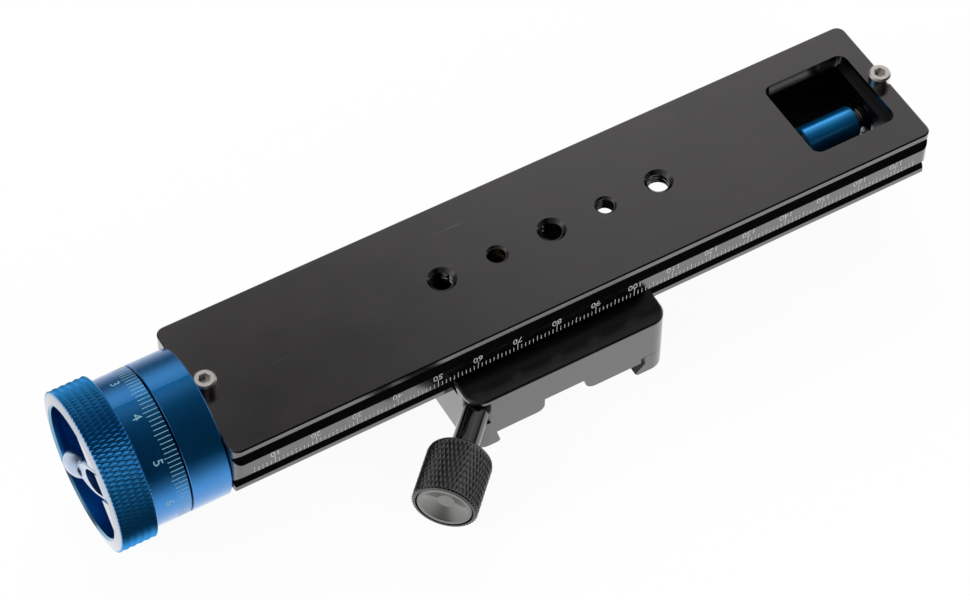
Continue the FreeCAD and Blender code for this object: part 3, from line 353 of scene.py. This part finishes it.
def finish(name, colour, worn, roughness, metallic=1.0, waves=9000.0, relief=0.002, scuffs=0.25,
           turned=None, coat=0.0, coat_roughness=0.12, coat_ior=1.8):
    """A finish: two tones of its colour, a changing roughness, a fine relief and a few scuffs.

    The relief is in millimetres. turned gives a point (metres) and the direction (degrees) of the line
    that lathe lines go round, and without it the surface is blasted.
    """
    material = bpy.data.materials.new(name)
    material.use_nodes = True
    tree = material.node_tree
    tree.nodes.clear()
    shader = tree.nodes.new("ShaderNodeBsdfPrincipled")
    output = tree.nodes.new("ShaderNodeOutputMaterial")
    tree.links.new(shader.outputs[0], output.inputs[0])
    shader.inputs["Metallic"].default_value = metallic
    shader.inputs["Coat Weight"].default_value = coat
    shader.inputs["Coat Roughness"].default_value = coat_roughness
    shader.inputs["Coat IOR"].default_value = coat_ior
    place = tree.nodes.new("ShaderNodeTexCoord").outputs["Object"]
    surface = tree.nodes.new("ShaderNodeGroup")
    surface.node_tree = LINES if turned else GRAIN
    surface.inputs["Waves"].default_value = waves
    surface.inputs["Base roughness"].default_value = roughness
    surface.inputs["Spread"].default_value = ROUGHNESS_SPREAD
    if turned:
        point, angle = turned
        centre = tree.nodes.new("ShaderNodeMapping")
        centre.vector_type = "TEXTURE"
        centre.inputs["Location"].default_value = point
        centre.inputs["Rotation"].default_value = (0.0, 0.0, math.radians(angle))
        tree.links.new(place, centre.inputs["Vector"])
        tree.links.new(centre.outputs[0], surface.inputs["Place"])
    else:
        tree.links.new(place, surface.inputs["Place"])
    wear = tree.nodes.new("ShaderNodeGroup")
    wear.node_tree = SCUFFS
    wear.inputs["Amount"].default_value = scuffs
    tree.links.new(place, wear.inputs["Place"])

    dark = tuple(value * (1.0 - TONE_SPREAD) for value in colour)
    light = tuple(min(1.0, value * (1.0 + TONE_SPREAD)) for value in colour)
    shade = colour_mix(tree, surface.outputs["Tone"], dark, light)
    rubbed = colour_mix(tree, wear.outputs["Mask"], shade, worn)
    tree.links.new(rubbed, shader.inputs["Base Color"])
    tree.links.new(surface.outputs["Roughness"], shader.inputs["Roughness"])
    bump = tree.nodes.new("ShaderNodeBump")
    bump.inputs["Strength"].default_value = 1.0
    bump.inputs["Distance"].default_value = relief / 1000.0
    tree.links.new(surface.outputs["Height"], bump.inputs["Height"])
    tree.links.new(bump.outputs[0], shader.inputs["Normal"])
    return material


SCREW_AXIS = (tuple((SCREW_LINE[0] + RAIL_ORIGIN) / 1000.0), 0.0)
CLAMP_AXIS = (tuple((CLAMP_START + RAIL_ORIGIN) / 1000.0), 45.0)

BLACK_WORN = (0.36, 0.35, 0.34)
STEEL_WORN = (0.78, 0.76, 0.74)
SILVER_WORN = (0.8, 0.8, 0.8)
CARRIAGE_BLACK = dict(colour=(0.095, 0.093, 0.093), worn=BLACK_WORN, roughness=0.38, relief=0.001, coat=0.5)
TURNED_BLUE = dict(colour=(0.002, 0.195, 0.540), worn=(0.10, 0.28, 0.55), roughness=0.30, metallic=0.95,
                   turned=SCREW_AXIS, relief=0.0008, coat=0.6, coat_roughness=0.14, coat_ior=1.6)
SURFACES = {
    "rail_anodised": dict(colour=(0.078, 0.072, 0.072), worn=BLACK_WORN, roughness=0.20, relief=0.001,
                          coat=0.6),
    "carriage_anodised": CARRIAGE_BLACK,
    "jaw_anodised": CARRIAGE_BLACK,
    "black_anodised": dict(colour=(0.05, 0.05, 0.05), worn=(0.16, 0.16, 0.16), roughness=0.35),
    "knob_black": dict(colour=(0.055, 0.054, 0.053), worn=(0.3, 0.29, 0.28), roughness=0.32, relief=0.001,
                       coat=0.5),
    "cap_black": dict(colour=(0.20, 0.20, 0.195), worn=(0.3, 0.3, 0.3), roughness=0.22, turned=CLAMP_AXIS,
                      relief=0.0015),
    "blue_anodised": TURNED_BLUE,
    "dial_blue": TURNED_BLUE,
    "ring_blue": dict(colour=(0.003, 0.240, 0.620), worn=(0.10, 0.28, 0.55), roughness=0.24, metallic=0.95,
                      relief=0.001, coat=0.6, coat_roughness=0.15, coat_ior=1.5),
    # The sleeve's blue is painted lighter than the other blue parts: a painted highlight standing in for
    # light it gets inside the window.
    "blue_sleeve": dict(colour=(0.006, 0.370, 0.950), worn=(0.15, 0.45, 0.85), roughness=0.30, metallic=0.9,
                        turned=SCREW_AXIS, relief=0.0006, coat=1.0, coat_roughness=0.10, coat_ior=1.5),
    # The crank's silver is tinted blue: a painted reflection of the blue cup around it.
    "crank_silver": dict(colour=(0.36, 0.45, 0.60), worn=SILVER_WORN, roughness=0.22, relief=0.0008),
    "black_steel": dict(colour=(0.08, 0.08, 0.08), worn=(0.35, 0.34, 0.33), roughness=0.30),
    "dark_steel": dict(colour=(0.74, 0.70, 0.66), worn=STEEL_WORN, roughness=0.32, scuffs=0.5),
    "bright_steel": dict(colour=(0.62, 0.61, 0.60), worn=STEEL_WORN, roughness=0.22),
    # The bearing steel is painted dark: painted shade standing in for the shadow at the rail's far end
    # inside the window, not the steel's own colour.
    "bearing_steel": dict(colour=(0.12, 0.12, 0.125), worn=STEEL_WORN, roughness=0.16, turned=SCREW_AXIS,
                          relief=0.0004),
    # The lead screw's steel is painted darker than bare steel: painted shade standing in for the shadow
    # inside the rail's channel.
    "screw_steel": dict(colour=(0.22, 0.22, 0.22), worn=STEEL_WORN, roughness=0.26),
    "screw_bright": dict(colour=(0.11, 0.11, 0.115), worn=(0.5, 0.5, 0.5), roughness=0.12,
                         turned=CLAMP_AXIS, relief=0.0005),
    "spring_steel": dict(colour=(0.50, 0.50, 0.51), worn=STEEL_WORN, roughness=0.25, turned=SCREW_AXIS,
                         waves=1200.0, relief=0.05),
    "nut_brass": dict(colour=(0.62, 0.44, 0.17), worn=(0.8, 0.65, 0.35), roughness=0.28),
}
FINISHES = {slot: finish(slot, **look) for slot, look in SURFACES.items()}
PAINT = dict(roughness=0.6, metallic=0.0, relief=0.001, scuffs=0.2)
SCALE_PAINT = finish("scale_paint", (0.46, 0.47, 0.48), (0.5, 0.5, 0.5), **PAINT)
DIAL_PAINT = finish("dial_paint", (0.20, 0.38, 0.46), (0.3, 0.3, 0.3), **PAINT)
RIM_SILVER = finish("rim_silver", (0.42, 0.455, 0.51), SILVER_WORN, 0.20, turned=SCREW_AXIS, relief=0.001)
LIP_BLUE = finish("lip_blue", (0.18, 0.36, 0.50), (0.6, 0.7, 0.8), 0.20, metallic=0.95, turned=SCREW_AXIS,
                  relief=0.001)

slot_of_node = {row["node"]: row["material_slot"] for row in frame["record"]["subparts"]}
# The washer beside the sleeve is painted black: painted shade standing in for the shadow inside the window.
slot_of_node["thrust_washer"] = "black_steel"
for node, item in frame["nodes"].items():
    item.data.materials.clear()
    item.data.materials.append(FINISHES[slot_of_node[node]])

# Heights of painted marks over the surface that carries them, and of their roots below it.
PAINT_TOP = 0.012
TICK_ROOT = -0.1
NUMBER_ROOT = -0.05


def glyph(text, height):
    """Points (n, 3) and triangles of a row of digits, centred, that many millimetres tall."""
    words = bpy.data.curves.new("mark_" + text, "FONT")
    words.body = text
    words.size = 1.0
    words.extrude = 0.02
    words.resolution_u = 3
    holder = bpy.data.objects.new("mark_" + text, words)
    bpy.context.scene.collection.objects.link(holder)
    bpy.context.view_layer.update()
    shape = bpy.data.meshes.new_from_object(holder.evaluated_get(bpy.context.evaluated_depsgraph_get()))
    points, triangles = mesh_arrays(shape)
    bpy.data.objects.remove(holder)
    bpy.data.meshes.remove(shape)
    low, high = points.min(axis=0), points.max(axis=0)
    scale = height / (high[1] - low[1])
    points[:, :2] = (points[:, :2] - (low[:2] + high[:2]) / 2) * scale
    return points, triangles


def tick_blocks(middle, half_width, low, high):
    """Points (n, 3) and quads of thin blocks, as across, up and outward; low may differ from one to one."""
    points = np.empty((len(middle), 8, 3))
    for corner in range(8):
        points[:, corner, 0] = middle + half_width if corner & 1 else middle - half_width
        points[:, corner, 1] = high if corner & 2 else low
        points[:, corner, 2] = PAINT_TOP if corner & 4 else TICK_ROOT
    one = np.array([[4, 5, 7, 6], [0, 2, 3, 1], [0, 1, 5, 4], [2, 6, 7, 3], [0, 4, 6, 2], [1, 3, 7, 5]])
    quads = (np.arange(len(middle))[:, None, None] * 8 + one).reshape(-1, 4)
    return points.reshape(-1, 3), quads


def with_numbers(ticks, quads, digit_height, numbers):
    """Points and faces of ticks together with their (value, across, up) numbers."""
    pieces = [ticks]
    triangles = []
    count = len(ticks)
    for value, across, up in numbers:
        points, faces = glyph(str(value), digit_height)
        points = points + np.array([across, up, 0.0])
        points[:, 2] = np.where(points[:, 2] > 0, PAINT_TOP, NUMBER_ROOT)
        triangles.append(faces + count)
        pieces.append(points)
        count += len(points)
    return np.concatenate(pieces), [quads, np.concatenate(triangles)]


def scale_marks():
    """The rail's scale on its near band: a mark each millimetre, turned upside down with its numbers.

    Across runs along -X and up along -Z, so the marks read from the rail's far side.
    """
    zero, half_width, digit_height = -0.75, 0.085, 1.75
    top, number_middle = BAND_BOTTOM - 0.03, BAND_BOTTOM - 3.35
    value = np.arange(5, 176)
    length = np.where(value % 10 == 0, 2.5, np.where(value % 5 == 0, 1.9, 1.4))
    ticks, quads = tick_blocks(-(zero + value), half_width, top - length, top)
    numbers = [(number, 0.05 - (zero + number), number_middle) for number in range(10, 180, 10)]
    flat, faces = with_numbers(ticks, quads, digit_height, numbers)
    points = np.stack([-flat[:, 0], -BAND_SIDE - flat[:, 2], -flat[:, 1]], axis=1)
    make_piece("scale_marks", points, faces, "rail", "rail_anodised", [SCALE_PAINT])


def dial_marks():
    """A hundred divisions and ten numbers on the drum: across is the arc round it, and up is along X."""
    half_width, digit_height, number_middle = 0.075, 2.1, -14.9
    division = np.arange(100)
    length = np.where(division % 5 == 0, 3.4, 3.0)
    arc = np.radians(4.75 + 3.6 * division) * DRUM_RADIUS
    ticks, quads = tick_blocks(-arc, half_width, DRUM_EDGE - length, DRUM_EDGE - 0.02)
    numbers = [(number, math.radians(36.0 * number - 220.5) * DRUM_RADIUS, number_middle)
               for number in range(10)]
    flat, faces = with_numbers(ticks, quads, digit_height, numbers)
    turned = math.pi + flat[:, 0] / DRUM_RADIUS
    points = on_line(SCREW_LINE, flat[:, 1], DRUM_RADIUS + flat[:, 2], turned)
    make_piece("dial_marks", points, faces, "screw", "dial_blue", [DIAL_PAINT])


RING_TEETH = 109
RING_KNURL_STEP = 3.33
RING_KNURL_DEPTH = 0.38
CORE_RADIUS = 18.3
TONGUE_HALF = 2.7
TONGUE_FOOT = 11.0
TONGUE_END = 15.95


def ring_core():
    """The CAD ring's own surface, drawn in to a radius below the knurl's grooves.

    A merged copy of the node's mesh: corners further than CORE_RADIUS from the screw's line move in
    to it, so the cup, the hinge's boss and the screw seats stay as they are. Each face gets a look: 1
    where the rim or the boss faces forward, 2 on the sloping lip of the cup, and 0 on the tongue
    between the crank's arms and everywhere else.
    """
    corners, triangles = mesh_arrays(frame["nodes"]["knurled_ring"].data)
    places = corners * 1000.0 - RAIL_ORIGIN
    points, merged = np.unique(np.round(places, 4), axis=0, return_inverse=True)
    faces = merged.reshape(-1)[triangles.ravel()].reshape(-1, 3)
    one, two, three = faces.T
    faces = faces[(one != two) & (two != three) & (three != one)]
    reach = np.hypot(points[:, 1], points[:, 2] + SCREW_DEPTH)
    draw = np.minimum(1.0, CORE_RADIUS / np.maximum(reach, 0.001))
    points[:, 1] *= draw
    points[:, 2] = (points[:, 2] + SCREW_DEPTH) * draw - SCREW_DEPTH
    first, second, third = points[faces[:, 0]], points[faces[:, 1]], points[faces[:, 2]]
    normal = np.cross(second - first, third - first)
    normal /= np.maximum(np.linalg.norm(normal, axis=1, keepdims=True), 1e-9)
    middle = points[faces].mean(axis=1)
    lift = middle[:, 2] + SCREW_DEPTH
    hinge = math.radians(HINGE_ANGLE)
    sideways = -middle[:, 1] * math.sin(hinge) + lift * math.cos(hinge)
    outward = middle[:, 1] * math.cos(hinge) + lift * math.sin(hinge)
    tongue = (np.abs(sideways) < TONGUE_HALF) & (outward > TONGUE_FOOT) & (outward < TONGUE_END)
    rim = (normal[:, 0] < -0.9) & (middle[:, 0] < RING_FRONT + 0.05) & ~tongue
    lip = (np.abs(normal[:, 0] + 0.7) < 0.15) & (middle[:, 0] < RING_FRONT + 0.6) & ~tongue
    return points, faces, np.where(rim, 1, np.where(lip, 2, 0))


def knurled_ring():
    """The ring: the CAD's cup inside a closed band whose outside is a diamond knurl."""
    core, core_faces, core_looks = ring_core()
    along = np.arange(RING_FRONT + 0.12, RING_BACK - 0.3, RING_KNURL_STEP / KNURL_CUTS)
    inside = [(RING_BACK - 0.05, CORE_RADIUS), (RING_BACK - 0.05, 18.0), (RING_FRONT + 0.03, 18.0),
              (RING_FRONT + 0.03, 18.45)]
    band, band_faces = knurled_band(SCREW_LINE, [], along, inside, RING_RADIUS, RING_KNURL_DEPTH,
                                    RING_TEETH)
    faces = [core_faces, band_faces + len(core)]
    looks = np.concatenate([core_looks, np.zeros(len(band_faces), int)])
    ring = make_piece("knurled_ring_skin", np.concatenate([core, band]), faces, "screw", "ring_blue",
                      [FINISHES["ring_blue"], RIM_SILVER, LIP_BLUE], smooth_angle=20.0, face_looks=looks)
    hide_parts("knurled_ring")


def lead_screw():
    """The lead screw: a journal, a collar, a right-hand thread of 1 mm pitch and an end journal.

    The thread's radius is its core's, plus its depth times a ridge that is cut flat top and bottom.
    """
    columns = 32
    core, depth, pitch = 2.5, 0.5, 1.0
    front = [(-18.5, 0.0), (-18.5, 3.0), (-2.85, 3.0), (-2.85, 3.6), (0.5, 3.6), (0.5, 2.6)]
    end = [(172.0, 2.6), (172.0, 2.5), (177.5, 2.5), (177.5, 0.0)]
    along = np.arange(0.6, 171.9, pitch / 8)
    ridge = wave(along[:, None] / pitch - around(columns)[None, :] / TURN)
    points = rings(SCREW_LINE, front, along, core + depth * np.clip(1.5 * ridge - 0.25, 0.0, 1.0), end)
    screw = make_piece("lead_screw_thread", points, [grid_faces(len(points), columns)], "screw",
                       "screw_steel", smooth_angle=60.0, close=0.001)
    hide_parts("lead_screw")


CLAMP_TEETH = 48
CLAMP_KNURL_STEP = 2.95
CLAMP_KNURL_DEPTH = 0.28


def clamp_knob():
    """The clamp knob: a closed band with a diamond knurl, a rounded back and a recess for its cap."""
    front = [(-21.0, 3.1), (-21.0, 6.5), (-23.2, 6.5), (-23.2, 6.95)]
    back = [(-9.7, 7.1), (-9.4, 6.85), (-9.4, 3.1)]
    along = np.arange(-22.85, -10.0, CLAMP_KNURL_STEP / KNURL_CUTS)
    points, faces = knurled_band(CLAMP_LINE, front, along, back, KNOB_RADIUS, CLAMP_KNURL_DEPTH,
                                 CLAMP_TEETH)
    knob = make_piece("clamp_knob_knurl", points, [faces], "clamp_knob_unit", "knob_black",
                      smooth_angle=20.0)
    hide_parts("clamp_knob")


def clamp_knob_cap():
    """The knob's end cap: a rounded rim, a dish whose wall slopes in evenly, and a flat middle."""
    profile = [(-21.5, 0.0), (-21.5, 2.0), (-22.85, 5.0), (-23.05, 5.35), (-23.1, 5.6), (-23.1, 6.1),
               (-22.8, 6.4), (-21.0, 6.4), (-21.0, 0.0)]
    cap = turned_piece("clamp_knob_cap_dish", CLAMP_LINE, profile, 128, "clamp_knob_unit", "cap_black",
                       smooth_angle=14.0)
    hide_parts("clamp_knob_cap")


def crank_line():
    """The crank's own line at rest: from the hinge through the cup's middle."""
    angle = math.radians(HINGE_ANGLE)
    height = HINGE_RADIUS * math.sin(angle) - SCREW_DEPTH
    hinge = np.array([CRANK_X, HINGE_RADIUS * math.cos(angle), height])
    way = np.array([0.0, -math.cos(angle), -math.sin(angle)])
    return hinge, way, ALONG_RAIL, np.cross(way, ALONG_RAIL)


def crank_grip():
    """The grip: a blunt egg with a bore for its spindle.

    Its radius rises by a sine from the neck over the first two fifths, and falls from 0.45 of its
    length by the square root of one less the cube of the share that is left behind.
    """
    neck, rise, bore_depth = 2.45, 0.75, 8.9
    share = 1.0 - (1.0 - np.linspace(0.0, 1.0, 48)) ** 2
    swell = neck + rise * np.sin(np.clip(share / 0.4, 0.0, 1.0) * math.pi / 2)
    fall = np.sqrt(1.0 - np.clip((share - 0.45) / 0.55, 0.0, 1.0) ** 3)
    bore_end = GRIP_START + bore_depth
    bore = [(bore_end, 0.0), (bore_end, SPINDLE_BORE), (GRIP_START, SPINDLE_BORE)]
    profile = bore + list(zip(GRIP_START + GRIP_LENGTH * share, swell * fall))
    grip = turned_piece("crank_grip_drop", crank_line(), profile, 96, "grip", "crank_silver",
                        smooth_angle=40.0)
    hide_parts("crank_grip")


def crank_collar():
    """A thin washer on the crank's neck, between the fork and the grip."""
    profile = [(15.3, SPINDLE_BORE), (15.3, 2.3), (15.42, 2.42), (15.98, 2.42), (16.1, 2.3),
               (16.1, SPINDLE_BORE)]
    turned_piece("crank_collar", crank_line(), profile, 96, "crank", "crank_silver", loop=True)


HOLE_BOTTOM = -3.6
QUARTER_INCH = dict(radius=2.56, pitch=1.27, top=-0.85)
METRIC = dict(radius=2.11, pitch=0.8, top=-0.45)
PLATE_HOLES = {"near": (61.0, QUARTER_INCH), "near_metric": (75.0, METRIC), "middle": (89.0, QUARTER_INCH),
               "far_metric": (103.0, METRIC), "far": (117.0, QUARTER_INCH)}


def hole_thread(name, x, radius, pitch, top):
    """The thread in one of the plate's holes: a low ridge along a helix on its wall."""
    columns = 48
    depth, root = 0.17, radius + 0.1
    wall = np.arange(top, HOLE_BOTTOM, -pitch / 8)
    ridge = wave(wall[:, None] / pitch - around(columns)[None, :] / TURN)
    line = (np.array([x, 0.0, 0.0]), UP, ALONG_RAIL, ACROSS)
    points = rings(line, [], wall, radius - depth * ridge, [(HOLE_BOTTOM, root), (top, root)])
    make_piece("hole_thread_" + name, points, [grid_faces(len(points), columns, wrap_rows=True)], "rail",
               "rail_anodised", smooth_angle=70.0)


scale_marks()
dial_marks()
knurled_ring()
lead_screw()
clamp_knob()
clamp_knob_cap()
crank_grip()
crank_collar()
for hole, (x, thread) in PLATE_HOLES.items():
    hole_thread(hole, x, **thread)


def floor():
    """A wide white sheet on the ground that glows; the camera sees it nearly plain white.

    In reflections its glow is a painted pool of light, bright under the rail and falling away on both
    sides.
    """
    half, mirrored_gain, glow_share = 4.0, 1.25, 0.94
    mesh = bpy.data.meshes.new("floor")
    mesh.from_pydata([(-half, -half, 0), (half, -half, 0), (half, half, 0), (-half, half, 0)], [],
                     [(0, 1, 2, 3)])
    sheet = bpy.data.objects.new("floor", mesh)
    bpy.context.scene.collection.objects.link(sheet)
    material = bpy.data.materials.new("floor_paper_glow")
    material.use_nodes = True
    tree = material.node_tree
    tree.nodes.clear()
    output = tree.nodes.new("ShaderNodeOutputMaterial")
    paper = tree.nodes.new("ShaderNodeBsdfDiffuse")
    paper.inputs["Color"].default_value = (0.9, 0.9, 0.9, 1.0)
    glow = tree.nodes.new("ShaderNodeEmission")
    light_path = tree.nodes.new("ShaderNodeLightPath")
    split = tree.nodes.new("ShaderNodeSeparateXYZ")
    tree.links.new(tree.nodes.new("ShaderNodeTexCoord").outputs["Object"], split.inputs[0])
    share = arithmetic(tree, "ADD", split.outputs[1], 0.5)
    # Painted pool of light: the glow's level in reflections across the floor, from its near side to its far
    # side.
    stops = ((-0.30, 0.05), (-0.09, 0.25), (-0.05, 0.66), (-0.03, 1.0), (0.03, 0.95), (0.075, 0.72),
             (0.11, 0.55), (0.27, 0.25))
    near = level_ramp(tree, share, [(y + 0.5, level) for y, level in stops])
    level = tree.nodes.new("ShaderNodeMix")
    tree.links.new(light_path.outputs["Is Camera Ray"], level.inputs[0])
    tree.links.new(arithmetic(tree, "MULTIPLY", near, mirrored_gain), level.inputs[2])
    level.inputs[3].default_value = 1.0
    tree.links.new(level.outputs[0], glow.inputs["Strength"])
    seen = light_path.outputs["Is Camera Ray"]
    for kind in ("Is Glossy Ray", "Is Transmission Ray"):
        seen = arithmetic(tree, "MAXIMUM", seen, light_path.outputs[kind])
    mix = tree.nodes.new("ShaderNodeMixShader")
    tree.links.new(arithmetic(tree, "MULTIPLY", seen, glow_share), mix.inputs[0])
    tree.links.new(paper.outputs[0], mix.inputs[1])
    tree.links.new(glow.outputs[0], mix.inputs[2])
    tree.links.new(mix.outputs[0], output.inputs[0])
    mesh.materials.append(material)


def angle_ramp(tree, share, stops):
    """A grey ramp over the share of a turn that starts at -180 degrees, from (degrees, level) stops."""
    return level_ramp(tree, share, [(0.5 + degrees / 360.0, level) for degrees, level in stops])


def surroundings():
    """White to the camera; in reflections bands of light that run along the rail.

    The level follows the angle of a direction about the rail's length, from 0 behind the rail to 90
    overhead and 180 at its near side: a soft box, brightest from 38 to 50 degrees and a little
    brighter towards the rail's far end, and a dark room beyond. A narrow dark card in front of the
    box, from 51 to 66 degrees, keeps the plate dark near its knob end. Overhead two dimmer panels
    stand to the left and right of the plate's own reflection.
    """
    world = bpy.data.worlds.new("studio")
    bpy.context.scene.world = world
    world.use_nodes = True
    tree = world.node_tree
    tree.nodes.clear()
    output = tree.nodes.new("ShaderNodeOutputWorld")
    white = tree.nodes.new("ShaderNodeBackground")
    room = tree.nodes.new("ShaderNodeBackground")
    for background in (white, room):
        background.inputs[0].default_value = (1.0, 1.0, 1.0, 1.0)
    split = tree.nodes.new("ShaderNodeSeparateXYZ")
    tree.links.new(tree.nodes.new("ShaderNodeTexCoord").outputs["Generated"], split.inputs[0])
    lengthwise, crosswise, upward = split.outputs
    angle = arithmetic(tree, "ARCTAN2", upward, crosswise)
    share = arithmetic(tree, "MULTIPLY_ADD", angle, 1.0 / TURN, 0.5)

    box = angle_ramp(tree, share, ((-180, 0.02), (-150, 0.3), (-20, 0.36), (2, 0.10), (15, 0.18),
                                   (27, 0.75), (38, 1.0), (50, 1.0), (56, 0.46), (66, 0.40), (78, 0.19),
                                   (92, 0.045), (125, 0.02), (160, 0.015)))
    card = angle_ramp(tree, share, ((51, 0.0), (56, 1.0), (61, 1.0), (66, 0.0)))
    near_end = level_ramp(tree, lengthwise, ((0.160, 0.0), (0.212, 1.0), (0.236, 1.0), (0.33, 0.0)))
    clear = arithmetic(tree, "SUBTRACT", 1.0, arithmetic(tree, "MULTIPLY", card, near_end))
    box = arithmetic(tree, "MULTIPLY", box, clear)
    rise = limited(tree, arithmetic(tree, "ADD", lengthwise, 0.78), 0.7, 1.08)

    # The panels start 0.2 to each side of the gap's middle, and are full from 0.37.
    gap_middle = 0.28
    panels = angle_ramp(tree, share, ((45, 0.0), (62, 0.44), (108, 0.36), (132, 0.12), (160, 0.02)))
    apart = arithmetic(tree, "ABSOLUTE", arithmetic(tree, "SUBTRACT", lengthwise, gap_middle))
    aside = limited(tree, arithmetic(tree, "MULTIPLY_ADD", apart, 6.0, -1.2), 0.0, 1.0)
    level = arithmetic(tree, "MULTIPLY_ADD", panels, aside, arithmetic(tree, "MULTIPLY", box, rise))
    tree.links.new(level, room.inputs[1])

    mix = tree.nodes.new("ShaderNodeMixShader")
    tree.links.new(tree.nodes.new("ShaderNodeLightPath").outputs["Is Camera Ray"], mix.inputs[0])
    tree.links.new(room.outputs[0], mix.inputs[1])
    tree.links.new(white.outputs[0], mix.inputs[2])
    tree.links.new(mix.outputs[0], output.inputs[0])


def stand(name, item, place, right, top, back):
    """An object for a lamp or the camera at a place (metres), with its three own directions."""
    holder = bpy.data.objects.new(name, item)
    turn = Matrix((tuple(right), tuple(top), tuple(back))).transposed().to_4x4()
    turn.translation = tuple(place)
    holder.matrix_world = turn
    bpy.context.scene.collection.objects.link(holder)
    return holder


def lamp(name, place, power):
    """A square soft lamp at a place (metres), turned to the frame's origin, of that many watts."""
    light = bpy.data.lights.new(name, "AREA")
    light.shape = "SQUARE"
    light.size = 0.6
    light.energy = power
    back = np.array(place) / np.linalg.norm(place)
    right = np.cross(UP, back)
    right /= np.linalg.norm(right)
    holder = stand(name, light, place, right, np.cross(back, right), back)
    holder.visible_glossy = False


def camera():
    """The photograph's viewpoint: 118 mm lens, looking down 52.6 degrees from the near left."""
    azimuth = math.radians(-120.099)
    elevation = math.radians(52.641)
    roll = math.radians(0.114)
    place = np.array([-145.07, -374.36, 552.07])
    back = np.array([math.cos(elevation) * math.cos(azimuth), math.cos(elevation) * math.sin(azimuth),
                     math.sin(elevation)])
    level = np.cross(-back, UP)
    level /= np.linalg.norm(level)
    upright = np.cross(level, -back)
    right = math.cos(roll) * level + math.sin(roll) * upright
    top = -math.sin(roll) * level + math.cos(roll) * upright
    lens = bpy.data.cameras.new("camera")
    lens.sensor_width = 36.0
    lens.lens = 117.985
    lens.clip_start = 0.01
    lens.clip_end = 20.0
    bpy.context.scene.camera = stand("camera", lens, (place + RAIL_ORIGIN) / 1000.0, right, top, back)


floor()
surroundings()
lamp("soft_box_back", (0.25, 0.75, 0.60), 6.0)
lamp("soft_box_left", (-0.9, -0.1, 0.55), 5.0)
lamp("soft_box_near", (0.1, -0.9, 0.45), 6.0)
camera()
bpy.context.scene.view_settings.view_transform = "Standard"
